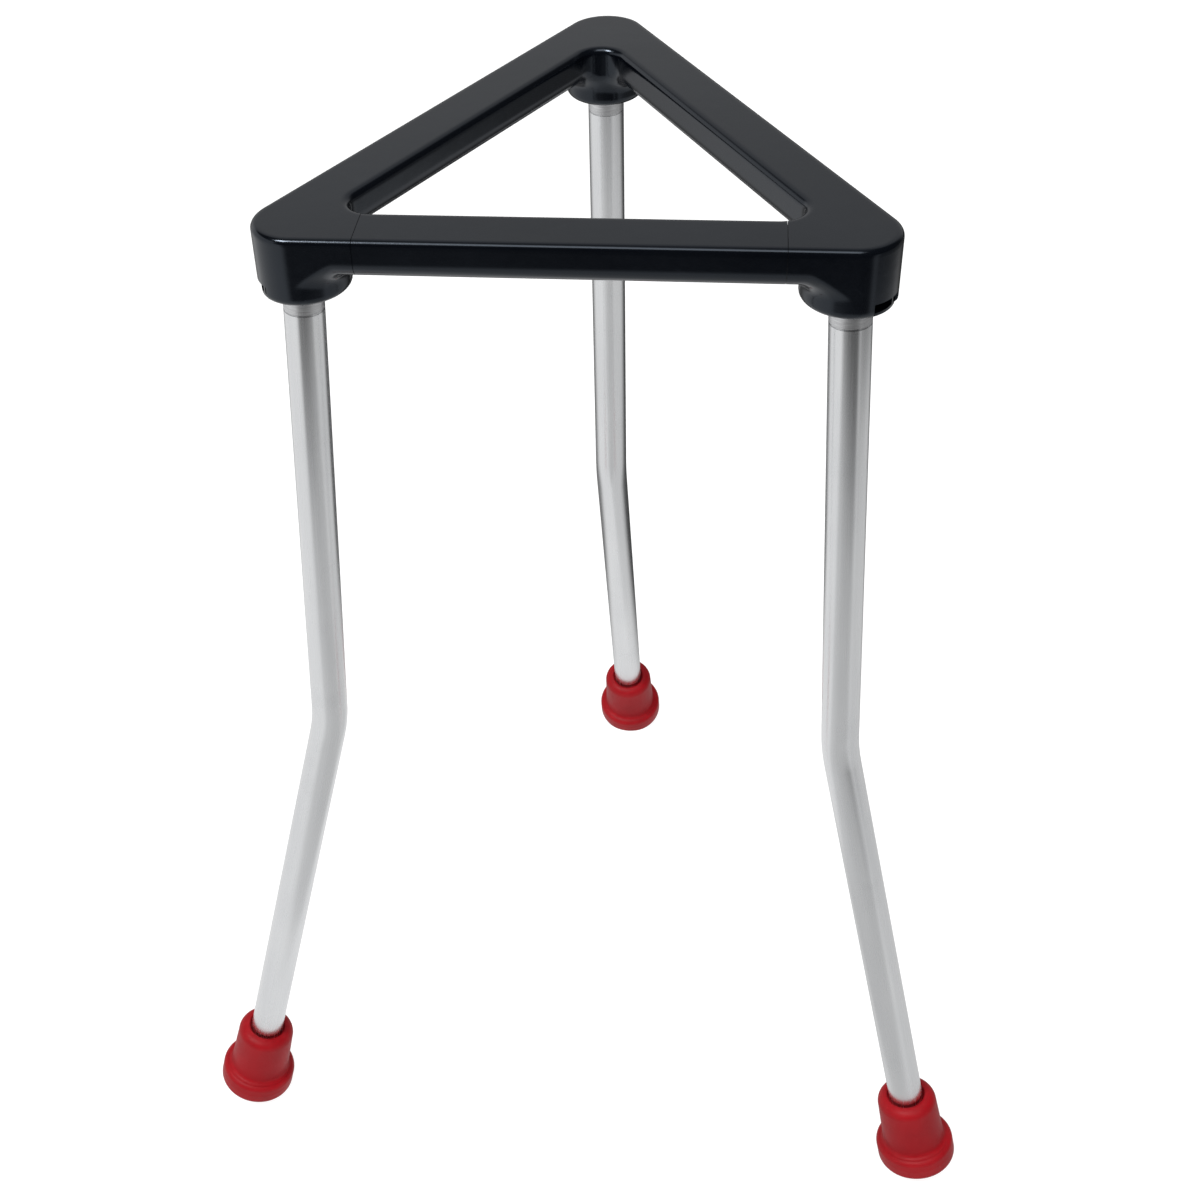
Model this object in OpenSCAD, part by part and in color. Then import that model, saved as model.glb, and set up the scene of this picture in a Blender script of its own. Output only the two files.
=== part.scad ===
// Lab tripod stand: a moulded triangular top on three bent tube legs with rubber feet.
// Origin: on the stand's three-fold axis, on the plane the feet stand on. +Z up, millimetres.
// The three corners sit at 90 (back), 210 (left) and 330 degrees (right); the front bar faces -Y.

/* [Triangular top] */
// Distance from the centre to the outer wall of each arm
arm_reach = 47.2; // [42:0.1:60]
// Width of each arm, seen from above
arm_w = 14.4; // [13:0.1:16]
// Height of each arm
arm_h = 10.4; // [9:0.1:13]
// Radius of the outer corners, and inset of the leg axes from the outer walls
corner_r = 10.8; // [9.5:0.1:11]
// Radius of the fillet in the three inner corners of the opening
inner_r = 6; // [3:0.1:8]
// Rounding of the top edge on the outer side
edge_top_out = 1.5; // [0.8:0.1:2]
// Rounding of the top edge on the inner side
edge_top_in = 1.8; // [0.8:0.1:2.2]
// Rounding of both bottom edges, a generous one
edge_bottom = 4.6; // [2:0.1:6]

/* [Leg bosses] */
// Depth of the boss rims below the top face
boss_depth = 17.8; // [15:0.1:24]
// How far the boss is drawn out towards the middle of the stand
boss_reach = 1.4; // [1:0.1:3]
// Radius of the drawn-out inner side of the boss
lobe_r = 10.2; // [9.5:0.1:10.5]
// Rounding of the boss rim
boss_rim_r = 1.8; // [0.5:0.1:2.5]
// Depth of the leg sockets, measured along the leg axis from the rim plane
socket_depth = 14; // [10:0.1:15]
// Height of the notch in each boss rim
notch_h = 3.8; // [2:0.1:5]
// Width of the notch, as an angle about the boss
notch_angle = 51; // [20:1:70]
// Angle of the notch's middle, clockwise from the corner's outward direction
notch_turn = 7; // [0:1:20]
// Height of the low lip left under the notch window
notch_lip = 1.1; // [0.6:0.1:1.6]
// How far that lip and the rib across the window stand back from the wall
notch_step = 0.7; // [0.4:0.1:0.8]

/* [Front bar] */
// Length of the separate front bar between its two seams
bar_len = 97; // [60:0.1:97.5]
// Width of the open joint line at each end of the front bar
seam_gap = 0.14; // [0.05:0.01:0.3]
// Length of the tenon at each end of the front bar
tenon_len = 4; // [2:0.1:5]
// Width of the tenon
tenon_w = 4.6; // [3:0.1:6]

/* [Legs] */
// Outside diameter of the leg tube
tube_d = 10; // [8:0.1:10]
// Wall thickness of the leg tube
tube_wall = 1; // [0.6:0.1:1.5]
// Outward lean of the straight upper part of each leg
splay = 3.4; // [0:0.1:8]
// Length of the upper part, from the middle of the top to the bend point
upper_len = 148.1; // [80:0.1:180]
// Length of the lower part, from the bend point to the middle of the foot flange
lower_len = 151.7; // [90:0.1:200]
// Angle of the bend
bend = 11.8; // [5:0.1:18]
// Centre-line radius of the bend
bend_r = 50; // [25:1:100]
// Clockwise turn of each leg in its socket
leg_turn = 7.1; // [0:0.1:12]
// Distance of the scribed ring below the boss rim
scribe_gap = 5.5; // [1:0.1:8]

/* [Feet] */
// Diameter of the foot flange
flange_d = 23; // [19.5:0.1:26]
// Height of the foot flange
flange_h = 7.4; // [5:0.1:9]
// Diameter of the foot body where it meets the flange
body_d = 18.2; // [15:0.1:18.4]
// Diameter of the foot body below its rounded shoulder
body_top_d = 17.4; // [14.5:0.1:17.8]
// Height of the foot body above the flange
body_h = 17.6; // [12:0.1:22]
// Rounding of the shoulder at the mouth of the foot
shoulder_r = 3; // [1:0.1:3.2]
// Concave blend between the body and the flange
foot_cove = 1.5; // [0.8:0.1:1.6]
// Rounding of the flange edges
flange_r = 1.8; // [0.8:0.1:2]
// Thickness of rubber under the end of the tube
sole = 4.5; // [3:0.1:6]
// Depth of the worn flat where the tilted flange stands on the bench
foot_flat = 1.2; // [0.6:0.1:2]

/* [Hidden] */
$fn = 96;
hair = 0.04;                            // tangent walls cross by this much, so that they join in a clean edge

corner_at = arm_reach - corner_r;       // distance of the corner centres from each arm's middle line
corner_rad = 2 * corner_at;             // circle of the leg axes
corner_half = corner_at * sqrt(3);      // half the distance between two corner centres
inner_reach = arm_reach - arm_w;        // distance of the inner walls from the centre
axis_drop = 9.4;                        // the leg axes cross that circle this far below the top face
fit_gap = 0.05;                         // radial play of a tube in its socket and in its foot

// cosine of the angle between a lower leg and the vertical
low_cos = cos(splay) * cos(bend) - sin(splay) * cos(leg_turn) * sin(bend);
low_sin = sqrt(1 - low_cos * low_cos);
// height of the middle of the flange over the floor
foot_rise = (flange_h / 2 - flange_r) * low_cos + (flange_d / 2 - flange_r) * low_sin
            + flange_r - foot_flat;
top_z = axis_drop + upper_len * cos(splay) + lower_len * low_cos + foot_rise;
tangent = bend_r * tan(bend / 2);
rim_at = (boss_depth - axis_drop) / cos(splay);   // rim plane, measured along the leg axis

BACK = 90;
LEFT = 210;
RIGHT = 330;
PLASTIC = [0.20, 0.21, 0.22];
METAL = [0.80, 0.81, 0.82];
RUBBER = [0.80, 0.12, 0.10];

// ---------- sections ----------

// section of an arm: x is the distance from the centre line of the stand, y is the height below the top face
module arm_section() {
    r1 = edge_top_out;
    r2 = edge_top_in;
    r3 = edge_bottom;
    difference() {
        translate([inner_reach, -arm_h]) square([arm_w, arm_h]);
        translate([arm_reach - r1, -r1]) square([r1 + 1, r1 + 1]);
        translate([inner_reach - 1, -r2]) square([r2 + 1, r2 + 1]);
        translate([arm_reach - r3, -arm_h - 1]) square([r3 + 1, r3 + 1]);
        translate([inner_reach - 1, -arm_h - 1]) square([r3 + 1, r3 + 1]);
    }
    translate([arm_reach - r1, -r1]) circle(r1);
    translate([inner_reach + r2, -r2]) circle(r2);
    translate([arm_reach - r3, r3 - arm_h]) circle(r3);
    translate([inner_reach + r3, r3 - arm_h]) circle(r3);
}

// half section of a corner with its boss, about the corner's own upright axis
module boss_section(r) {
    r1 = edge_top_out;
    r3 = boss_rim_r;
    difference() {
        translate([0, -boss_depth]) square([r, boss_depth]);
        translate([r - r1, -r1]) square([r1 + 1, r1 + 1]);
        translate([r - r3, -boss_depth - 1]) square([r3 + 1, r3 + 1]);
    }
    translate([r - r1, -r1]) circle(r1);
    translate([r - r3, r3 - boss_depth]) circle(r3);
}

// ---------- the triangular top ----------

// puts children on the arm whose outer wall faces the given direction; +Y of the child runs along the arm
module on_arm(facing) {
    rotate([0, 0, facing]) translate([0, 0, top_z]) children();
}

module at_corner(angle) {
    rotate([0, 0, angle]) translate([corner_rad, 0, top_z]) children();
}

// straight stretch of arm between two stations along it
module arm(facing, from, to) {
    on_arm(facing)
        translate([0, to, 0]) rotate([90, 0, 0])
            linear_extrude(height = to - from) arm_section();
}

// fills an inner corner of the opening and leaves a fillet whose edges are rounded like the arms'
module inner_corner(angle) {
    reach = corner_rad - 2 * inner_reach;          // sharp inner corner, seen from the corner centre
    centre = reach + 2 * (inner_r - hair);         // centre of the fillet
    out = inner_r + edge_bottom + 0.6;             // how far the filler reaches into the arms
    at_corner(angle) difference() {
        translate([0, 0, -arm_h]) linear_extrude(height = arm_h) polygon([
            [-centre, 0],
            [-centre + out / 2, -out * sqrt(3) / 2],
            [-centre + 2 * out, 0],
            [-centre + out / 2, out * sqrt(3) / 2]]);
        translate([-centre, 0, 0]) rotate_extrude() difference() {
            translate([0, -arm_h - 1]) square([inner_r + edge_bottom, arm_h + 2]);
            translate([inner_r - inner_reach, 0]) arm_section();
        }
    }
}

// inner side of a boss, drawn out towards the middle of the stand; its top stays inside the corner
module lobe(angle) {
    at_corner(angle) translate([-boss_reach, 0, -boss_depth]) rotate_extrude() {
        translate([0, boss_rim_r]) square([lobe_r, boss_depth - 3 - boss_rim_r]);
        square([lobe_r - boss_rim_r, boss_depth - 3]);
        intersection() {
            translate([lobe_r - boss_rim_r, boss_rim_r]) circle(boss_rim_r);
            square([lobe_r, boss_depth - 3]);
        }
    }
}

// blind socket for a tube, on the leaning axis of the leg
module socket(angle) {
    at_corner(angle) translate([0, 0, -axis_drop]) rotate([0, -splay, 0])
        translate([0, 0, -rim_at - 6]) cylinder(r = tube_d / 2 + fit_gap, h = socket_depth + 6);
}

// notch in the lower rim of a boss: a window whose low lip and one thin rib stand a little back from the wall
module notch(angle) {
    depth = corner_r - (tube_d / 2 + 2.6);
    at_corner(angle) rotate([0, 0, -notch_turn]) difference() {
        translate([0, 0, -boss_depth - 1]) rotate([0, 0, -notch_angle / 2])
            rotate_extrude(angle = notch_angle) polygon([
                [corner_r - notch_step, 0],
                [corner_r + 2, 0],
                [corner_r + 2, notch_h + 1],
                [corner_r - depth, notch_h + 1],
                [corner_r - depth, notch_lip + 1],
                [corner_r - notch_step, notch_lip + 1]]);
        rotate([0, 0, 13]) translate([0, -0.35, -boss_depth - 2])
            cube([corner_r - notch_step - 0.1, 0.7, notch_h + 4]);
    }
}

// open-bottomed pockets that take the tenons of the front bar
module tenon(side, extra = 0) {
    on_arm(-90) translate([arm_reach - arm_w / 2, side * bar_len / 2, -arm_h - extra])
        translate([-tenon_w / 2, side < 0 ? -tenon_len : -1, 0])
            cube([tenon_w, tenon_len + 1, arm_h - 3 + extra]);
}

// space of the front bar, between its two seams
module bar_space() {
    on_arm(-90) translate([inner_reach - 3, -bar_len / 2, -arm_h - 2])
        cube([arm_w + 6, bar_len, arm_h + 4]);
}

module frame() {
    color(PLASTIC) difference() {
        union() {
            arm(150, -corner_half, corner_half);
            arm(30, -corner_half, corner_half);
            arm(-90, -corner_half, 1 - bar_len / 2);
            arm(-90, bar_len / 2 - 1, corner_half);
            for (a = [BACK, LEFT, RIGHT]) {
                at_corner(a) rotate_extrude() boss_section(corner_r + hair);
                lobe(a);
                inner_corner(a);
            }
        }
        for (a = [BACK, LEFT, RIGHT]) {
            socket(a);
            notch(a);
        }
        for (s = [-1, 1]) tenon(s, 1);
        bar_space();
    }
}

module front_bar() {
    color(PLASTIC) {
        arm(-90, seam_gap - bar_len / 2, bar_len / 2 - seam_gap);
        for (s = [-1, 1]) tenon(s);
    }
}

// ---------- legs ----------

// frame of one leg: its origin is where the leg axis crosses the corner circle, and the upper leg runs down -Z
module on_leg(angle) {
    at_corner(angle) translate([0, 0, -axis_drop]) rotate([0, -splay, 0])
        rotate([0, 0, -leg_turn]) children();
}

// frame of the lower leg: its origin is the bend point, and the lower leg runs down -Z
module on_lower_leg(angle) {
    on_leg(angle) translate([0, 0, -upper_len]) rotate([0, -bend, 0]) children();
}

// the bend is drawn down by a hair against the straight stretches and runs a little way into both
module tube_run(r, top, bottom) {
    neck = 0.015;
    lap = 0.6;
    translate([0, 0, -(upper_len - tangent)]) cylinder(r = r, h = top + upper_len - tangent);
    translate([bend_r, 0, -(upper_len - tangent)]) rotate([90, 0, 0]) rotate([0, 0, 180 - lap])
        rotate_extrude(angle = bend + 2 * lap) translate([bend_r, 0]) circle(r - neck);
    translate([0, 0, -upper_len]) rotate([0, -bend, 0])
        translate([0, 0, -bottom]) cylinder(r = r, h = bottom - tangent);
}

module leg(angle) {
    top = socket_depth - rim_at - 0.2;
    bottom = lower_len + flange_h / 2 - sole;
    color(METAL) on_leg(angle) difference() {
        tube_run(tube_d / 2, top, bottom);
        tube_run(tube_d / 2 - tube_wall, top + 1, bottom + 1);
        // scribed ring below the boss
        translate([0, 0, -rim_at - scribe_gap - 0.25]) difference() {
            cylinder(d = tube_d + 2, h = 0.5);
            translate([0, 0, -1]) cylinder(d = tube_d - 0.24, h = 2.5);
        }
    }
}

module leg_left() { leg(LEFT); }
module leg_right() { leg(RIGHT); }
module leg_back() { leg(BACK); }

// ---------- feet ----------

// half section of a foot about the lower leg; y = 0 is the underside of the flange
module foot_section() {
    r = flange_r;
    mouth = tube_d / 2 + 0.6;
    total = flange_h + body_h;
    shelf = body_d / 2 + foot_cove;
    // flange
    difference() {
        square([flange_d / 2, flange_h]);
        translate([flange_d / 2 - r, -1]) square([r + 1, r + 1]);
        translate([flange_d / 2 - r, flange_h - r]) square([r + 1, r + 1]);
    }
    intersection() {
        union() {
            translate([flange_d / 2 - r, r]) circle(r);
            translate([flange_d / 2 - r, flange_h - r]) circle(r);
        }
        square([flange_d / 2, flange_h]);
    }
    // body with its concave blend
    polygon([[0, flange_h - 1], [body_d / 2, flange_h - 1], [body_d / 2, flange_h + foot_cove],
             [body_top_d / 2, total - shoulder_r], [0, total - shoulder_r]]);
    difference() {
        translate([body_d / 2 - 0.5, flange_h - 0.5]) square([foot_cove + 0.5, foot_cove + 0.5]);
        translate([shelf, flange_h + foot_cove]) circle(foot_cove);
    }
    // rounded shoulder
    square([body_top_d / 2 - shoulder_r, total]);
    intersection() {
        translate([body_top_d / 2 - shoulder_r, total - shoulder_r]) circle(shoulder_r);
        square([body_top_d / 2, total]);
    }
}

module foot(angle) {
    color(RUBBER) difference() {
        on_lower_leg(angle) translate([0, 0, -lower_len - flange_h / 2]) difference() {
            rotate_extrude() foot_section();
            translate([0, 0, sole - 0.2]) cylinder(r = tube_d / 2 + fit_gap, h = 60);
            // small recess round the mouth
            translate([0, 0, flange_h + body_h - 1]) cylinder(r = tube_d / 2 + 0.5, h = 2);
        }
        // worn flat, level with the bench
        rotate([0, 0, angle]) translate([corner_rad, -60, -20]) cube([160, 120, 20]);
    }
}

module foot_left() { foot(LEFT); }
module foot_right() { foot(RIGHT); }
module foot_back() { foot(BACK); }

frame();
front_bar();
leg_left();
leg_right();
leg_back();
foot_left();
foot_right();
foot_back();
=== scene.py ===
import bpy, bmesh, math
import numpy as np
from mathutils import Matrix, Vector


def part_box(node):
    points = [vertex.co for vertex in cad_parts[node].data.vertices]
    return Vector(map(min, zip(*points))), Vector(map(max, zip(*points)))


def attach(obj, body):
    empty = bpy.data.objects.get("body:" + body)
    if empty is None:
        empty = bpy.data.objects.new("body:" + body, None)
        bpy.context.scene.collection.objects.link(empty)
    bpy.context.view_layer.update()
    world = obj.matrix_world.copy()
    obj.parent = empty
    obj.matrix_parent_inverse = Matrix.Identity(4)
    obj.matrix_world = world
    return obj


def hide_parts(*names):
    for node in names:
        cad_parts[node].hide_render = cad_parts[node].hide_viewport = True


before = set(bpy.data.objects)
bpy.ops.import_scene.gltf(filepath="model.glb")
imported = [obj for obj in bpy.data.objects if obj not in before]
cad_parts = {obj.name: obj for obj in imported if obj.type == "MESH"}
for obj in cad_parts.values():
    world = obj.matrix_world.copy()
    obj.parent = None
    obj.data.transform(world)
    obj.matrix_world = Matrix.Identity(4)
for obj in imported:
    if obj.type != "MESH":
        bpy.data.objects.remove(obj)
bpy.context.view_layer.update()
scene = bpy.context.scene

# ------------------------------------------------------------------ numbers of the stand, in metres
MM = 0.001
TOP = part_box("frame")[1].z
ARM_REACH, CORNER_R, BOSS_DEPTH = 47.2 * MM, 10.8 * MM, 17.8 * MM
CORNER_RAD = 2 * (ARM_REACH - CORNER_R)
AXIS_DROP = 9.4 * MM
SPLAY, BEND, TURN = math.radians(3.4), math.radians(11.8), math.radians(7.1)
UPPER, LOWER, BEND_R = 148.1 * MM, 151.7 * MM, 50 * MM
TUBE_R, WALL = 5.0 * MM, 1.0 * MM
SCRIBE = 5.5 * MM
RIM_AT = (BOSS_DEPTH - AXIS_DROP) / math.cos(SPLAY)
LEG_TOP = 14 * MM - RIM_AT - 0.2 * MM
FLANGE_D, FLANGE_H, BODY_D, BODY_TOP_D, BODY_H = 23.0 * MM, 7.4 * MM, 18.2 * MM, 17.4 * MM, 17.6 * MM
ARM_W, ARM_H, INNER_R = 14.4 * MM, 10.4 * MM, 6.0 * MM
EDGE_OUT, EDGE_IN, EDGE_LOW, RIM_R = 1.5 * MM, 1.8 * MM, 4.6 * MM, 1.8 * MM
LOBE, LOBE_R = 1.3 * MM, 10.3 * MM
BAR_LEN, SEAM = 97.0 * MM, 0.14 * MM
NOTCH_H, NOTCH_ANGLE, NOTCH_TURN = 3.8 * MM, 51.0, 7.0
NOTCH_LIP, NOTCH_STEP = 1.1 * MM, 0.7 * MM
SHOULDER_R, FOOT_COVE, FLANGE_R, SOLE = 3.0 * MM, 1.5 * MM, 1.8 * MM, 4.5 * MM
LEGS = {"leg_back": 90, "leg_left": 210, "leg_right": 330}
FEET = {"foot_back": 90, "foot_left": 210, "foot_right": 330}


def leg_frame(angle):
    return (Matrix.Rotation(math.radians(angle), 4, "Z")
            @ Matrix.Translation((CORNER_RAD, 0, TOP - AXIS_DROP))
            @ Matrix.Rotation(-SPLAY, 4, "Y") @ Matrix.Rotation(-TURN, 4, "Z"))


def lower_frame(angle):
    return leg_frame(angle) @ Matrix.Translation((0, 0, -UPPER)) @ Matrix.Rotation(-BEND, 4, "Y")


# ------------------------------------------------------------------ camera
F_PX, CX, CY = 1741.151, 480.0, 470.0
AZ, EL, ROLL = math.radians(9.689), math.radians(36.659), math.radians(-3.694)
EYE = Vector((0.741 * ARM_REACH, -8.097 * ARM_REACH, 4.034 * ARM_REACH + TOP))
back = Vector((math.sin(AZ) * math.cos(EL), -math.cos(AZ) * math.cos(EL), math.sin(EL)))
right0 = Vector((math.cos(AZ), math.sin(AZ), 0))
up0 = back.cross(right0)
right = right0 * math.cos(ROLL) + up0 * math.sin(ROLL)
up = -right0 * math.sin(ROLL) + up0 * math.cos(ROLL)
cam_data = bpy.data.cameras.new("camera")
cam_data.sensor_fit = "HORIZONTAL"
cam_data.sensor_width = 36.0
cam_data.lens = F_PX / 1200 * 36.0
cam_data.shift_x = (600 - CX) / 1200
cam_data.shift_y = (CY - 600) / 1200
cam_data.clip_start, cam_data.clip_end = 0.01, 50
cam = bpy.data.objects.new("camera", cam_data)
scene.collection.objects.link(cam)
rot = Matrix((right, up, back)).transposed().to_4x4()
cam.matrix_world = Matrix.Translation(EYE) @ rot
scene.camera = cam


# ------------------------------------------------------------------ node helpers
class Tree:
    """Small helper that adds nodes and links by name."""

    def __init__(self, name):
        self.mat = bpy.data.materials.new(name)
        self.mat.use_nodes = True
        self.nt = self.mat.node_tree
        self.nt.nodes.clear()
        self.out = self.nt.nodes.new("ShaderNodeOutputMaterial")
        self.bsdf = self.nt.nodes.new("ShaderNodeBsdfPrincipled")
        self.link(self.bsdf.outputs["BSDF"], self.out.inputs["Surface"])

    def node(self, kind, **props):
        n = self.nt.nodes.new(kind)
        for k, v in props.items():
            setattr(n, k, v)
        return n

    def link(self, a, b):
        self.nt.links.new(a, b)

    def feed(self, value, socket):
        if isinstance(value, bpy.types.NodeSocket):
            self.link(value, socket)
        else:
            socket.default_value = value

    def math(self, op, a, b=0.0, clamp=False):
        n = self.node("ShaderNodeMath", operation=op, use_clamp=clamp)
        self.feed(a, n.inputs[0])
        self.feed(b, n.inputs[1])
        return n.outputs[0]

    def noise(self, vec, scale, detail=3.0, rough=0.5, distort=0.0):
        n = self.node("ShaderNodeTexNoise")
        self.feed(vec, n.inputs["Vector"])
        n.inputs["Scale"].default_value = scale
        n.inputs["Detail"].default_value = detail
        n.inputs["Roughness"].default_value = rough
        n.inputs["Distortion"].default_value = distort
        return n.outputs["Fac"]

    def span(self, value, lo, hi, to_lo=0.0, to_hi=1.0, smooth=False):
        n = self.node("ShaderNodeMapRange")
        n.interpolation_type = "SMOOTHSTEP" if smooth else "LINEAR"
        n.clamp = True
        self.feed(value, n.inputs["Value"])
        for k, v in (("From Min", lo), ("From Max", hi), ("To Min", to_lo), ("To Max", to_hi)):
            n.inputs[k].default_value = v
        return n.outputs["Result"]

    def mix(self, fac, a, b):
        n = self.node("ShaderNodeMix", data_type="RGBA", blend_type="MIX")
        self.feed(fac, n.inputs["Factor"])
        self.feed(a, n.inputs["A"] if False else n.inputs[6])
        self.feed(b, n.inputs[7])
        return n.outputs[2]

    def scale_vec(self, vec, sx, sy, sz):
        n = self.node("ShaderNodeVectorMath", operation="MULTIPLY")
        self.feed(vec, n.inputs[0])
        n.inputs[1].default_value = (sx, sy, sz)
        return n.outputs[0]

    def bump(self, height, strength, distance, normal=None):
        n = self.node("ShaderNodeBump")
        n.inputs["Strength"].default_value = strength
        n.inputs["Distance"].default_value = distance
        self.feed(height, n.inputs["Height"])
        if normal is not None:
            self.link(normal, n.inputs["Normal"])
        return n.outputs["Normal"]


def rgb(r, g, b):
    return (r, g, b, 1.0)


# ------------------------------------------------------------------ materials
def moulding_material():
    t = Tree("moulding_satin")
    co = t.node("ShaderNodeTexCoord").outputs["Object"]
    cloud = t.noise(co, 38, 4, 0.55)
    fine = t.noise(co, 620, 3, 0.6)
    grain = t.noise(co, 2600, 2, 0.6)
    wear = t.noise(co, 170, 6, 0.7, 0.6)
    scuff = t.span(wear, 0.60, 0.78, smooth=True)
    tone = t.span(cloud, 0.3, 0.7)
    base = t.mix(tone, rgb(0.0007, 0.0010, 0.0019), rgb(0.0015, 0.0020, 0.0033))
    base = t.mix(t.math("MULTIPLY", scuff, 0.35), base, rgb(0.008, 0.0095, 0.0125))
    t.link(base, t.bsdf.inputs["Base Color"])
    r = t.math("ADD", t.span(fine, 0.3, 0.7, 0.135, 0.175), t.math("MULTIPLY", scuff, 0.06))
    r = t.math("ADD", r, t.span(cloud, 0.3, 0.7, -0.015, 0.02))
    t.link(r, t.bsdf.inputs["Roughness"])
    t.bsdf.inputs["IOR"].default_value = 1.5
    t.bsdf.inputs["Specular Tint"].default_value = rgb(0.74, 0.85, 1.0)
    n1 = t.bump(cloud, 0.25, 0.0004)
    n2 = t.bump(grain, 0.05, 0.00006, n1)
    t.link(n2, t.bsdf.inputs["Normal"])
    return t.mat


def tube_material():
    """UV: u runs once round the tube, v is the distance down it in metres."""
    t = Tree("tube_satin")
    uv = t.node("ShaderNodeTexCoord").outputs["UV"]
    sep = t.node("ShaderNodeSeparateXYZ")
    t.link(uv, sep.inputs[0])
    turn = t.math("MULTIPLY", sep.outputs[0], 2 * math.pi)
    cs, sn = t.math("COSINE", turn), t.math("SINE", turn)
    comb = t.node("ShaderNodeCombineXYZ")
    t.link(t.math("MULTIPLY", cs, TUBE_R), comb.inputs[0])
    t.link(t.math("MULTIPLY", sn, TUBE_R), comb.inputs[1])
    t.link(sep.outputs[1], comb.inputs[2])
    p = comb.outputs[0]
    drawn = t.noise(t.scale_vec(p, 1, 1, 0.012), 2600, 3, 0.6)      # fine lines along the tube
    soft = t.noise(t.scale_vec(p, 1, 1, 0.15), 160, 3, 0.5)
    cloud = t.noise(p, 60, 4, 0.6)
    specks = t.noise(p, 900, 2, 0.5)
    turned = t.noise(t.scale_vec(p, 0.05, 0.05, 1), 5200, 2, 0.6)   # turned lines in the band under the boss
    band = t.math("MULTIPLY", t.math("GREATER_THAN", sep.outputs[1], LEG_TOP + RIM_AT - 1.0 * MM),
                  t.math("LESS_THAN", sep.outputs[1], LEG_TOP + RIM_AT + SCRIBE))
    groove = t.math("MULTIPLY", t.math("GREATER_THAN", sep.outputs[1], LEG_TOP + RIM_AT + SCRIBE),
                    t.math("LESS_THAN", sep.outputs[1], LEG_TOP + RIM_AT + SCRIBE + 0.5 * MM))
    stain = t.span(cloud, 0.52, 0.72, smooth=True)
    base = t.mix(t.span(soft, 0.3, 0.7), rgb(0.74, 0.75, 0.765), rgb(0.80, 0.81, 0.82))
    base = t.mix(t.math("MULTIPLY", stain, 0.18), base, rgb(0.66, 0.67, 0.68))
    base = t.mix(t.math("MULTIPLY", t.span(specks, 0.66, 0.74), 0.25), base, rgb(0.68, 0.69, 0.70))
    base = t.mix(t.math("MULTIPLY", band, t.span(turned, 0.35, 0.65, 0.15, 0.85)), base, rgb(0.50, 0.50, 0.51))
    # painted shade: the scribed groove is coloured dark to stand in for the shade that falls inside it
    base = t.mix(t.math("MULTIPLY", groove, t.span(turned, 0.3, 0.7, 0.25, 0.75)), base, rgb(0.20, 0.20, 0.21))
    t.link(base, t.bsdf.inputs["Base Color"])
    t.bsdf.inputs["Metallic"].default_value = 1.0
    r = t.math("ADD", t.span(drawn, 0.3, 0.7, 0.225, 0.285), t.math("MULTIPLY", band, 0.16))
    r = t.math("ADD", r, t.math("MULTIPLY", stain, 0.03))
    t.link(r, t.bsdf.inputs["Roughness"])
    h = t.math("ADD", t.math("MULTIPLY", drawn, 0.5), t.math("MULTIPLY", t.math("MULTIPLY", turned, band), 2.0))
    n1 = t.bump(soft, 0.05, 0.0002)
    n2 = t.bump(h, 0.10, 0.00002, n1)
    t.link(n2, t.bsdf.inputs["Normal"])
    return t.mat


def rubber_material():
    t = Tree("foot_rubber")
    co = t.node("ShaderNodeTexCoord").outputs["Object"]
    cloud = t.noise(co, 90, 4, 0.6)
    grain = t.noise(co, 1500, 3, 0.65)
    bloom = t.noise(co, 300, 5, 0.65, 0.4)
    dust = t.span(bloom, 0.50, 0.75, smooth=True)
    base = t.mix(t.span(cloud, 0.3, 0.7), rgb(0.235, 0.0028, 0.0062), rgb(0.295, 0.0042, 0.0085))
    base = t.mix(t.math("MULTIPLY", dust, 0.06), base, rgb(0.38, 0.08, 0.085))
    t.link(base, t.bsdf.inputs["Base Color"])
    r = t.math("ADD", t.span(grain, 0.3, 0.7, 0.42, 0.52), t.math("MULTIPLY", dust, 0.08))
    t.link(r, t.bsdf.inputs["Roughness"])
    t.bsdf.inputs["IOR"].default_value = 1.5
    t.bsdf.inputs["Specular IOR Level"].default_value = 0.14
    n1 = t.bump(cloud, 0.15, 0.0004)
    n2 = t.bump(grain, 0.22, 0.00008, n1)
    t.link(n2, t.bsdf.inputs["Normal"])
    return t.mat


MOULDING, TUBE, RUBBER = moulding_material(), tube_material(), rubber_material()


# ------------------------------------------------------------------ mesh helpers
def add_mesh(name, bm, material, smooth_angle=40):
    me = bpy.data.meshes.new(name)
    bm.normal_update()
    for f in bm.faces:
        f.smooth = True
    for e in bm.edges:
        if len(e.link_faces) == 2 and e.calc_face_angle(0) > math.radians(smooth_angle):
            e.smooth = False
    bm.to_mesh(me)
    bm.free()
    me.materials.append(material)
    o = bpy.data.objects.new(name, me)
    scene.collection.objects.link(o)
    return o


# ------------------------------------------------------------------ legs: swept tubes
def leg_stations():
    """[(distance from the top, local matrix)] down the middle of a leg, in the leg's own frame."""
    tangent = BEND_R * math.tan(BEND / 2)
    straight = LEG_TOP + UPPER - tangent
    arc = BEND_R * BEND
    tail = LOWER + FLANGE_H / 2 - SOLE - tangent
    total = straight + arc + tail

    def at(s):
        if s <= straight:
            return Matrix.Translation((0, 0, LEG_TOP - s))
        if s <= straight + arc:
            a = (s - straight) / BEND_R
        else:
            a = BEND
        p = Matrix.Translation((BEND_R * (1 - math.cos(a)), 0, -(UPPER - tangent) - BEND_R * math.sin(a)))
        m = p @ Matrix.Rotation(-a, 4, "Y")
        if s > straight + arc:
            m = m @ Matrix.Translation((0, 0, -(s - straight - arc)))
        return m

    return at, straight, arc, total


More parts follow.
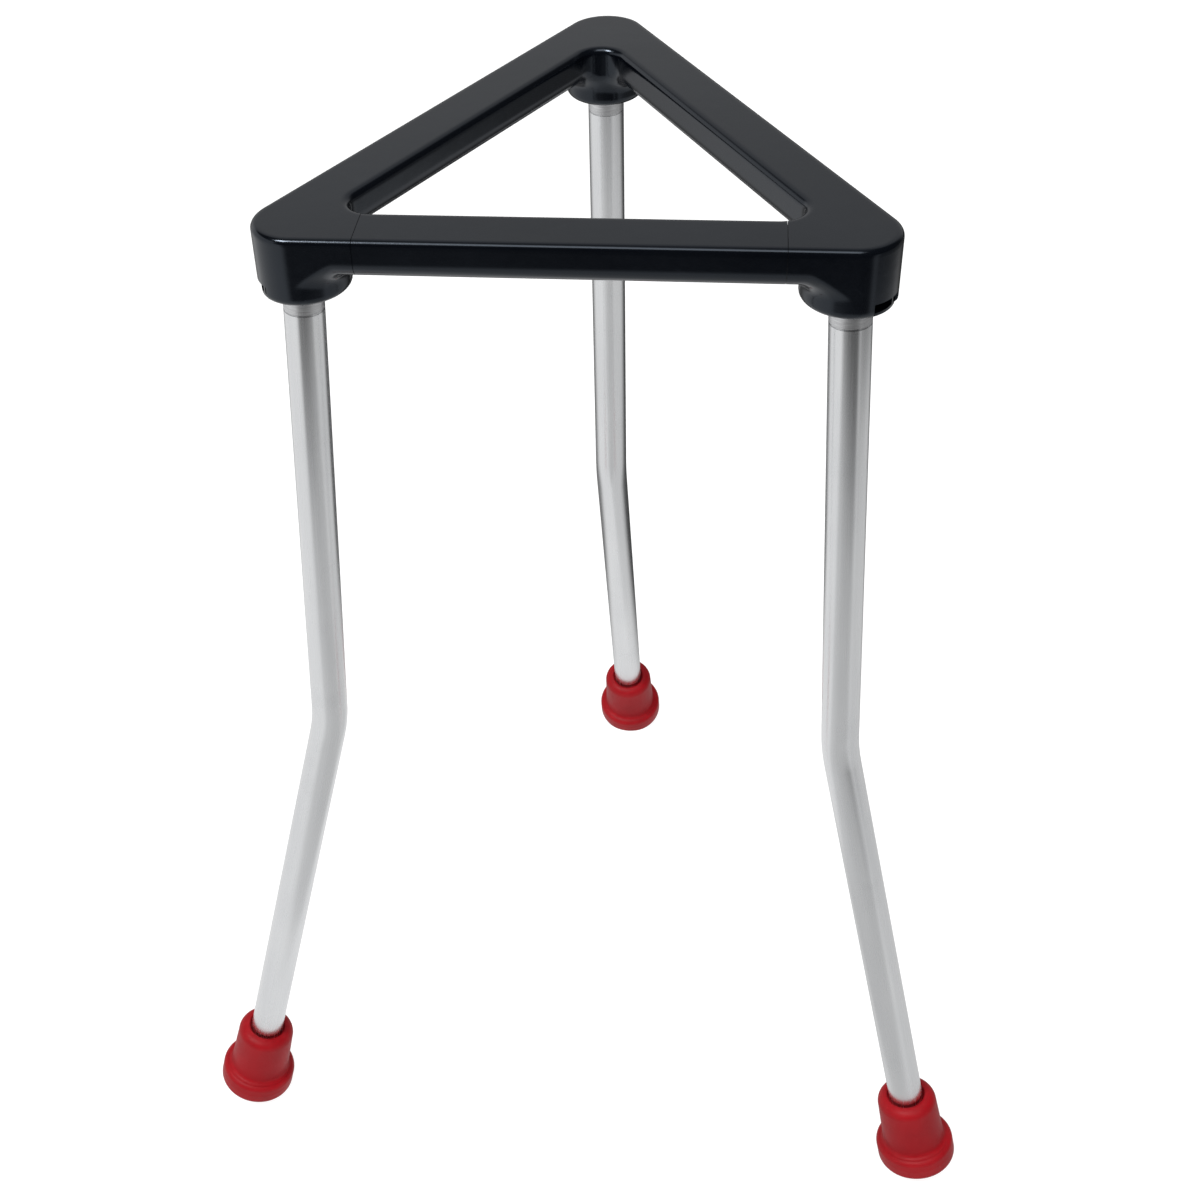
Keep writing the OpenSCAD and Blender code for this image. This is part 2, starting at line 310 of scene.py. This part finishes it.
def build_leg(name, angle):
    at, straight, arc, total = leg_stations()
    groove = LEG_TOP + RIM_AT + SCRIBE
    rings = [(0.0, TUBE_R - 0.3 * MM), (0.3 * MM, TUBE_R)]
    s = 2 * MM
    while s < groove - 0.4 * MM:
        rings.append((s, TUBE_R)); s += 2.5 * MM
    rings += [(groove, TUBE_R), (groove + 0.02 * MM, TUBE_R - 0.06 * MM),
              (groove + 0.48 * MM, TUBE_R - 0.06 * MM), (groove + 0.5 * MM, TUBE_R)]
    s = groove + 3 * MM
    while s < straight - 1 * MM:
        rings.append((s, TUBE_R)); s += 5 * MM
    n = 24
    rings += [(straight + arc * k / n, TUBE_R) for k in range(n + 1)]
    s = straight + arc + 4 * MM
    while s < total - 4 * MM:
        rings.append((s, TUBE_R)); s += 5 * MM
    rings += [(total - 0.3 * MM, TUBE_R), (total, TUBE_R - 0.3 * MM)]
    inner = [(total, TUBE_R - WALL)] + [(s, TUBE_R - WALL) for s, r in reversed(rings[1:-1]) if r == TUBE_R][::2] + [(0.0, TUBE_R - WALL)]
    loop = rings + inner
    SEG = 96
    m = leg_frame(angle)
    bm = bmesh.new()
    uvl = bm.loops.layers.uv.new("UVMap")
    verts = []
    for s, r in loop:
        local = m @ at(s)
        verts.append([bm.verts.new(local @ Vector((r * math.cos(2 * math.pi * k / SEG), r * math.sin(2 * math.pi * k / SEG), 0)))
                      for k in range(SEG)])
    count = len(loop)
    for i in range(count):
        j = (i + 1) % count
        for k in range(SEG):
            q = (k + 1) % SEG
            f = bm.faces.new((verts[i][k], verts[j][k], verts[j][q], verts[i][q]))
            for lp, (u, v) in zip(f.loops, ((k / SEG, loop[i][0]), (k / SEG, loop[j][0]), ((k + 1) / SEG, loop[j][0]), ((k + 1) / SEG, loop[i][0]))):
                lp[uvl].uv = (u, v)
    bmesh.ops.recalc_face_normals(bm, faces=bm.faces)
    o = add_mesh(name + "_tube", bm, TUBE, 50)
    return o


# ------------------------------------------------------------------ feet: revolved ferrules
def arc_points(cx, cy, r, a0, a1, n):
    return [(cx + r * math.cos(math.radians(a0 + (a1 - a0) * k / n)), cy + r * math.sin(math.radians(a0 + (a1 - a0) * k / n)))
            for k in range(n + 1)]


def foot_profile():
    fr, total = FLANGE_R, FLANGE_H + BODY_H
    pts = [(0.0, 0.0), (3 * MM, 0.0), (FLANGE_D / 2 - fr - 1.5 * MM, 0.0)]
    pts += arc_points(FLANGE_D / 2 - fr, fr, fr, -90, 0, 8)
    # the flange wall leans in a hair and carries a faint parting line
    pts += [(FLANGE_D / 2 - 0.02 * MM, FLANGE_H * 0.5 - 0.12 * MM), (FLANGE_D / 2 + 0.015 * MM - 0.02 * MM, FLANGE_H * 0.5),
            (FLANGE_D / 2 - 0.02 * MM, FLANGE_H * 0.5 + 0.12 * MM)]
    pts += arc_points(FLANGE_D / 2 - fr, FLANGE_H - fr, fr, 0, 78, 8)
    # concave run up to the body
    c = FOOT_COVE
    pts += arc_points(BODY_D / 2 + c, FLANGE_H + c, c, -100, -178, 8)
    steps = 8
    y0, y1 = FLANGE_H + c + 0.4 * MM, total - SHOULDER_R - 0.3 * MM
    for k in range(steps + 1):
        q = k / steps
        pts.append((BODY_D / 2 + (BODY_TOP_D - BODY_D) / 2 * q, y0 + (y1 - y0) * q))
    pts += arc_points(BODY_TOP_D / 2 - SHOULDER_R, total - SHOULDER_R, SHOULDER_R, 6, 84, 10)
    # lip, mouth and bore
    lip = TUBE_R + 0.5 * MM
    pts += [(lip + 0.45 * MM, total - 0.02 * MM), (lip + 0.12 * MM, total - 0.12 * MM), (lip, total - 0.35 * MM),
            (lip - 0.02 * MM, total - 1.0 * MM), (TUBE_R + 0.05 * MM, total - 1.25 * MM),
            (TUBE_R + 0.05 * MM, SOLE + 3 * MM), (TUBE_R + 0.05 * MM, SOLE - 0.2 * MM), (3 * MM, SOLE - 0.2 * MM), (0.0, SOLE - 0.2 * MM)]
    return pts


def build_foot(name, angle):
    m = lower_frame(angle) @ Matrix.Translation((0, 0, -LOWER - FLANGE_H / 2))
    SEG = 128
    pts = foot_profile()
    bm = bmesh.new()
    rows = []
    for r, y in pts:
        if r < 1e-7:
            rows.append([bm.verts.new(m @ Vector((0, 0, y)))])
        else:
            rows.append([bm.verts.new(m @ Vector((r * math.cos(2 * math.pi * k / SEG), r * math.sin(2 * math.pi * k / SEG), y)))
                         for k in range(SEG)])
    for i in range(len(rows) - 1):
        a, b = rows[i], rows[i + 1]
        for k in range(SEG):
            q = (k + 1) % SEG
            if len(a) == 1:
                bm.faces.new((a[0], b[k], b[q]))
            elif len(b) == 1:
                bm.faces.new((a[k], b[0], a[q]))
            else:
                bm.faces.new((a[k], b[k], b[q], a[q]))
    # the sole is worn level with the bench
    geom = bm.verts[:] + bm.edges[:] + bm.faces[:]
    cut = bmesh.ops.bisect_plane(bm, geom=geom, dist=1e-7, plane_co=(0, 0, 0), plane_no=(0, 0, -1), clear_outer=True)
    edges = [e for e in cut["geom_cut"] if isinstance(e, bmesh.types.BMEdge)]
    bmesh.ops.holes_fill(bm, edges=edges, sides=0)
    bmesh.ops.recalc_face_normals(bm, faces=bm.faces)
    return add_mesh(name + "_ferrule", bm, RUBBER, 50)


for node, angle in LEGS.items():
    o = build_leg(node, angle)
    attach(o, "root"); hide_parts(node)
for node, angle in FEET.items():
    o = build_foot(node, angle)
    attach(o, "root"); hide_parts(node)

# ------------------------------------------------------------------ moulded top: one blended surface, cut at the joints
def rint(a, b, r):
    """intersection of two distances with a round edge"""
    return np.minimum(np.maximum(a + r, b + r), 0) + np.hypot(np.maximum(a + r, 0), np.maximum(b + r, 0)) - r


def runion(a, b, r):
    """union of two distances with a round fillet"""
    return np.maximum(r, np.minimum(a, b)) - np.hypot(np.maximum(r - a, 0), np.maximum(r - b, 0))


def triangle(x, y, reach):
    """signed distance to the triangle whose sides lie at that distance from the middle"""
    inside = np.full_like(x, -1e9)
    dist = np.full_like(x, 1e9)
    half = reach * math.sqrt(3)
    for a in (-90, 30, 150):
        n = (math.cos(math.radians(a)), math.sin(math.radians(a)))
        d = n[0] * x + n[1] * y - reach
        t = -n[1] * x + n[0] * y
        inside = np.maximum(inside, d)
        dist = np.minimum(dist, np.hypot(d, t - np.clip(t, -half, half)))
    return np.where(inside < 0, -dist, dist)


FILLET = 3.6 * MM


def smin(a, b, k):
    h = np.clip(0.5 + 0.5 * (b - a) / k, 0, 1)
    return b * (1 - h) + a * h - k * h * (1 - h)


def top_distance(x, y, z):
    z = z - TOP
    outer = triangle(x, y, ARM_REACH - CORNER_R) - CORNER_R
    hole = INNER_R - triangle(x, y, ARM_REACH - ARM_W - INNER_R)
    low = -z - ARM_H
    ring = np.maximum(np.maximum(rint(outer, z, EDGE_OUT), rint(outer, low, EDGE_LOW)),
                      np.maximum(rint(hole, z, EDGE_IN), rint(hole, low, EDGE_LOW)))
    boss = np.full_like(x, 1e9)
    for a in (90, 210, 330):
        c, s = math.cos(math.radians(a)), math.sin(math.radians(a))
        u, v = c * x + s * y - CORNER_RAD, -s * x + c * y
        plan = smin(np.hypot(u, v) - CORNER_R, np.hypot(u + LOBE, v) - LOBE_R, 1.0 * MM)
        boss = np.minimum(boss, np.maximum(rint(plan, -z - BOSS_DEPTH, RIM_R), z + 3.0 * MM))
    body = runion(ring, boss, FILLET)
    return np.maximum(body, np.maximum(rint(outer, z, EDGE_OUT), rint(hole, z, EDGE_IN)))


def blended_top(step):
    lo = np.array([-75 * MM, -50 * MM, TOP - BOSS_DEPTH - 2 * step])
    hi = np.array([75 * MM, 86 * MM, TOP + 2 * step])
    n = np.ceil((hi - lo) / step).astype(int) + 1
    gx, gy, gz = [lo[i] + step * np.arange(n[i]) for i in range(3)]
    val = np.empty(n, np.float32)
    Y, Z = np.meshgrid(gy, gz, indexing="ij")
    for i0 in range(0, n[0], 40):
        xs = gx[i0:i0 + 40]
        X = np.broadcast_to(xs[:, None, None], (len(xs),) + Y.shape).copy()
        val[i0:i0 + 40] = top_distance(X, np.broadcast_to(Y, X.shape).copy(), np.broadcast_to(Z, X.shape).copy())
    neg = val < 0
    c = sum(neg[dx:n[0] - 1 + dx, dy:n[1] - 1 + dy, dz:n[2] - 1 + dz].astype(np.int8)
            for dx in (0, 1) for dy in (0, 1) for dz in (0, 1))
    cell = (c > 0) & (c < 8)
    index = -np.ones(cell.shape, np.int64)
    ids = np.argwhere(cell)
    index[cell] = np.arange(len(ids))
    pos = np.zeros((len(ids), 3)); cnt = np.zeros(len(ids))
    corners = [(dx, dy, dz) for dx in (0, 1) for dy in (0, 1) for dz in (0, 1)]
    for a in corners:
        for ax in range(3):
            if a[ax]:
                continue
            b = list(a); b[ax] = 1
            va = val[ids[:, 0] + a[0], ids[:, 1] + a[1], ids[:, 2] + a[2]]
            vb = val[ids[:, 0] + b[0], ids[:, 1] + b[1], ids[:, 2] + b[2]]
            m = (va < 0) != (vb < 0)
            t = np.where(m, va / np.where(m, va - vb, 1), 0)
            p = np.array(a, float)[None] + np.zeros((len(ids), 3)); p[:, ax] += t
            pos[m] += p[m]; cnt[m] += 1
    pos = lo + step * (ids + pos / cnt[:, None])
    for _ in range(4):
        e = 0.02 * MM
        f = top_distance(pos[:, 0], pos[:, 1], pos[:, 2])
        g = np.stack([(top_distance(pos[:, 0] + (e if i == 0 else 0), pos[:, 1] + (e if i == 1 else 0), pos[:, 2] + (e if i == 2 else 0))
                       - top_distance(pos[:, 0] - (e if i == 0 else 0), pos[:, 1] - (e if i == 1 else 0), pos[:, 2] - (e if i == 2 else 0))) / (2 * e)
                      for i in range(3)], 1)
        d = f[:, None] * g / np.maximum((g * g).sum(1), 0.25)[:, None]
        size = np.linalg.norm(d, axis=1)
        d *= np.minimum(1, 0.4 * step / np.maximum(size, 1e-12))[:, None]
        pos -= d
    quads = []
    for ax in range(3):
        o1, o2 = [(1, 2), (2, 0), (0, 1)][ax]
        sl = [slice(None)] * 3
        sa = [slice(1, n[i] - 1) for i in range(3)]; sa[ax] = slice(0, n[ax] - 1)
        sb = list(sa); sb[ax] = slice(1, n[ax])
        m = neg[tuple(sa)] != neg[tuple(sb)]
        idx = np.argwhere(m)
        base = idx + np.array([s.start for s in sa])
        flip = neg[tuple(base.T)]
        def at(d1, d2):
            q = base.copy(); q[:, o1] -= d1; q[:, o2] -= d2
            return index[tuple(q.T)]
        q = np.stack([at(1, 1), at(0, 1), at(0, 0), at(1, 0)], 1)
        q[~flip] = q[~flip][:, ::-1]
        quads.append(q)
    return pos, np.concatenate(quads)


def solid(name, parts):
    """one helper mesh from closed [(verts, faces)]"""
    verts, faces = [], []
    for v, f in parts:
        faces += [tuple(i + len(verts) for i in q) for q in f]
        verts += [tuple(p) for p in v]
    me = bpy.data.meshes.new(name)
    me.from_pydata(verts, [], faces)
    bm = bmesh.new(); bm.from_mesh(me)
    bmesh.ops.recalc_face_normals(bm, faces=bm.faces)
    bm.to_mesh(me); bm.free()
    o = bpy.data.objects.new(name, me)
    scene.collection.objects.link(o)
    return o


def bore(matrix, r, z0, z1, seg=72):
    v = [matrix @ Vector((r * math.cos(2 * math.pi * k / seg), r * math.sin(2 * math.pi * k / seg), z)) for z in (z0, z1) for k in range(seg)]
    f = [(k, (k + 1) % seg, seg + (k + 1) % seg, seg + k) for k in range(seg)]
    f += [tuple(range(seg))[::-1], tuple(range(seg, 2 * seg))]
    return v, f


def sector(matrix, r0, r1, a0, a1, z0, z1, steps):
    v = []
    for k in range(steps + 1):
        a = math.radians(a0 + (a1 - a0) * k / steps)
        for r, z in ((r0, z0), (r1, z0), (r1, z1), (r0, z1)):
            v.append(matrix @ Vector((r * math.cos(a), r * math.sin(a), z)))
    f = []
    for k in range(steps):
        for i in range(4):
            j = (i + 1) % 4
            f.append((4 * k + i, 4 * k + j, 4 * k + 4 + j, 4 * k + 4 + i))
    f += [(0, 1, 2, 3), tuple(4 * steps + i for i in (3, 2, 1, 0))]
    return v, f


def carve(obj, cutter, solver="EXACT"):
    mod = obj.modifiers.new("cut", "BOOLEAN")
    mod.operation, mod.solver, mod.object = "DIFFERENCE", solver, cutter
    bpy.context.view_layer.update()
    new = bpy.data.meshes.new_from_object(obj.evaluated_get(bpy.context.evaluated_depsgraph_get()))
    obj.modifiers.clear()
    obj.data = new
    bpy.data.objects.remove(cutter)


def build_top():
    pos, quads = blended_top(0.5 * MM)
    me = bpy.data.meshes.new("top_blend")
    me.from_pydata([tuple(p) for p in pos], [], [tuple(int(i) for i in q) for q in quads])
    o = bpy.data.objects.new("top_blend", me)
    scene.collection.objects.link(o)
    cuts = []
    for a in (90, 210, 330):
        m = (Matrix.Rotation(math.radians(a), 4, "Z") @ Matrix.Translation((CORNER_RAD, 0, TOP)))
        leg = m @ Matrix.Translation((0, 0, -AXIS_DROP)) @ Matrix.Rotation(-SPLAY, 4, "Y")
        cuts.append(bore(leg, TUBE_R + 0.05 * MM, -RIM_AT - 4 * MM, 14 * MM - RIM_AT))
        depth = CORNER_R - (TUBE_R + 2.6 * MM)
        n = m @ Matrix.Rotation(math.radians(-NOTCH_TURN), 4, "Z")
        rib = 13.0
        half = math.degrees(0.35 * MM / CORNER_R)
        for a0, a1 in ((-NOTCH_ANGLE / 2, rib - half), (rib + half, NOTCH_ANGLE / 2)):
            cuts.append(sector(n, CORNER_R - depth, CORNER_R + 2 * MM, a0, a1, -BOSS_DEPTH + NOTCH_LIP, -BOSS_DEPTH + NOTCH_H, 12))
        # the rib and the low lip under the window stand a little back from the wall
        cuts.append(sector(n, CORNER_R - NOTCH_STEP, CORNER_R + 2 * MM, -NOTCH_ANGLE / 2, NOTCH_ANGLE / 2, -BOSS_DEPTH - 1 * MM, -BOSS_DEPTH + NOTCH_H, 12))
    for i, c in enumerate(cuts):
        carve(o, solid("cutter_%d" % i, [c]))
    bm = bmesh.new()
    bm.from_mesh(o.data)
    bpy.data.objects.remove(o)
    pieces = []
    for keep_bar in (False, True):
        b = bm.copy()
        for side in (-1, 1):
            x = side * (BAR_LEN / 2 - (SEAM if keep_bar else 0))
            faces = [f for f in b.faces if f.calc_center_median().y < -31 * MM]
            geom = faces + list({e for f in faces for e in f.edges}) + list({v for f in faces for v in f.verts})
            cut = bmesh.ops.bisect_plane(b, geom=geom, dist=1e-7, plane_co=(x, 0, 0), plane_no=(1, 0, 0))
        inside = [f for f in b.faces if f.calc_center_median().y < -31 * MM and abs(f.calc_center_median().x) < BAR_LEN / 2 - (SEAM if keep_bar else 0)]
        if keep_bar:
            drop = set(b.faces) - set(inside)
        else:
            drop = set(inside)
        bmesh.ops.delete(b, geom=list(drop), context="FACES")
        rims = [e for e in b.edges if e.is_boundary]
        bmesh.ops.holes_fill(b, edges=rims, sides=0)
        bmesh.ops.recalc_face_normals(b, faces=b.faces)
        pieces.append(add_mesh("moulded_bar" if keep_bar else "moulded_corners", b, MOULDING, 35))
    bm.free()
    return pieces


corners, bar = build_top()
for o, node in ((corners, "frame"), (bar, "front_bar")):
    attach(o, "root"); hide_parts(node)


# ------------------------------------------------------------------ floor, light
def plane(name, pts):
    me = bpy.data.meshes.new(name)
    me.from_pydata(pts, [], [tuple(range(len(pts)))])
    o = bpy.data.objects.new(name, me)
    scene.collection.objects.link(o)
    return o


def compass(t, x, y):
    """direction over the floor in degrees: 0 at the front, positive to the right, +-180 at the back"""
    return t.math("MULTIPLY", t.math("ARCTAN2", x, t.math("MULTIPLY", y, -1.0)), 180 / math.pi)


def between(t, value, a0, a1, b0, b1):
    return t.math("MULTIPLY", t.span(value, a0, a1, smooth=True), t.span(value, b0, b1, 1.0, 0.0, smooth=True))


# pale paper floor: it glows a little, as a lit sweep does, and takes a faint contact shadow
floor = plane("floor", [(-6, -6, 0), (6, -6, 0), (6, 6, 0), (-6, 6, 0)])
tf = Tree("floor_paper")
fco = tf.node("ShaderNodeTexCoord").outputs["Object"]
fn = tf.noise(fco, 3, 2, 0.5)
tf.link(tf.mix(tf.span(fn, 0.3, 0.7), rgb(0.24, 0.24, 0.24), rgb(0.25, 0.25, 0.25)), tf.bsdf.inputs["Base Color"])
tf.bsdf.inputs["Roughness"].default_value = 1.0
tf.bsdf.inputs["Specular IOR Level"].default_value = 0.0
tf.bsdf.inputs["Emission Color"].default_value = rgb(1, 1, 1)
tf.bsdf.inputs["Emission Strength"].default_value = 0.88
floor.data.materials.append(tf.mat)
floor.visible_glossy = False

# what the glossy surfaces see below the horizon: a bright table with the darker room beyond its edge
card = plane("table_card", [(-4, -4, 0.0005), (4, -4, 0.0005), (4, 4, 0.0005), (-4, 4, 0.0005)])
tc = Tree("table_glow")
sep = tc.node("ShaderNodeSeparateXYZ")
tc.link(tc.node("ShaderNodeTexCoord").outputs["Object"], sep.inputs[0])
cx_, cy_ = sep.outputs[0], sep.outputs[1]
az = compass(tc, cx_, cy_)
rad = tc.math("SQRT", tc.math("ADD", tc.math("MULTIPLY", cx_, cx_), tc.math("MULTIPLY", cy_, cy_)))
front = between(tc, az, -38, -22, 40, 60)
right_side = between(tc, az, 46, 62, 140, 175)
rear = tc.math("MULTIPLY", tc.span(tc.math("ABSOLUTE", az), 112, 145, smooth=True), tc.span(rad, 0.11, 0.20, smooth=True))
rear_level = tc.math("ADD", 0.06, tc.math("MULTIPLY", tc.math("LESS_THAN", az, 0.0), 0.12))
near = tc.math("ADD", tc.span(rad, 0.34, 0.58, 0.53, 0.0, smooth=True), tc.span(az, -14, 4, 0.105, 0.035, smooth=True))
front_level = tc.math("ADD", near, 0.0)
right_level = tc.span(rad, 0.50, 0.62, 0.66, 0.16, smooth=True)
level = tc.math("ADD", tc.math("MULTIPLY", tc.math("SUBTRACT", 1.0, front), 0.85), tc.math("MULTIPLY", front, front_level))
level = tc.math("ADD", tc.math("MULTIPLY", level, tc.math("SUBTRACT", 1.0, right_side)), tc.math("MULTIPLY", right_side, right_level))
level = tc.math("ADD", tc.math("MULTIPLY", level, tc.math("SUBTRACT", 1.0, rear)), tc.math("MULTIPLY", rear, rear_level))
tc.bsdf.inputs["Base Color"].default_value = rgb(0, 0, 0)
tc.bsdf.inputs["Specular IOR Level"].default_value = 0.0
tc.bsdf.inputs["Emission Color"].default_value = rgb(1, 1, 1)
tc.link(level, tc.bsdf.inputs["Emission Strength"])
card.data.materials.append(tc.mat)
card.visible_camera = False
card.visible_diffuse = False
card.visible_shadow = False

# room: dim, with a pale wall behind the set and a tall soft light on its left
world = bpy.data.worlds.new("world")
scene.world = world
world.use_nodes = True
tw = Tree.__new__(Tree)
tw.nt = world.node_tree
bg = world.node_tree.nodes["Background"]
wsep = tw.node("ShaderNodeSeparateXYZ")
tw.link(tw.node("ShaderNodeTexCoord").outputs["Generated"], wsep.inputs[0])
waz = compass(tw, wsep.outputs[0], wsep.outputs[1])
wel = tw.math("MULTIPLY", tw.math("ARCSINE", wsep.outputs[2]), 180 / math.pi)
wall = tw.math("MULTIPLY", tw.span(tw.math("ABSOLUTE", waz), 118, 150, smooth=True), between(tw, wel, -4, 4, 52, 75))
wall = tw.math("MULTIPLY", wall, tw.span(wsep.outputs[0], -0.26, 0.14, 1.02, 0.88))
tall = tw.math("MULTIPLY", between(tw, waz, -150, -125, -55, -35), between(tw, wel, -10, 0, 26, 34))
above = tw.span(wel, 62, 85, smooth=True)
ahead = tw.math("MULTIPLY", between(tw, waz, -70, -50, 18, 42), between(tw, wel, 46, 54, 70, 82))
glow = tw.math("ADD", 0.045, tw.math("MULTIPLY", wall, 0.49))
glow = tw.math("ADD", glow, tw.math("MULTIPLY", ahead, 3.0))
glow = tw.math("ADD", glow, tw.math("MULTIPLY", tall, 0.75))
glow = tw.math("ADD", glow, tw.math("MULTIPLY", above, 0.30))
bg.inputs["Color"].default_value = (1, 1, 1, 1)
tw.link(glow, bg.inputs["Strength"])


def area(name, loc, target, size_x, size_y, watts):
    d = bpy.data.lights.new(name, "AREA")
    d.shape = "RECTANGLE"
    d.size, d.size_y, d.energy = size_x, size_y, watts
    o = bpy.data.objects.new(name, d)
    scene.collection.objects.link(o)
    z = (Vector(loc) - Vector(target)).normalized()
    o.matrix_world = Matrix.Translation(loc) @ z.to_track_quat("Z", "Y").to_matrix().to_4x4()
    return o


area("soft_key", (-0.62, -0.52, 1.42), (0, 0, 0.25), 0.42, 0.42, 13)
fill = area("soft_fill", (0.7, -0.9, 1.0), (0, 0, 0.1), 1.2, 1.2, 8)
fill.visible_glossy = False
top_fill = area("soft_top", (0.0, 0.1, 1.7), (0, 0, 0.1), 1.6, 1.6, 12)
top_fill.visible_glossy = False

scene.view_settings.view_transform = "Standard"
scene.view_settings.look = "None"
scene.view_settings.exposure = 0.0
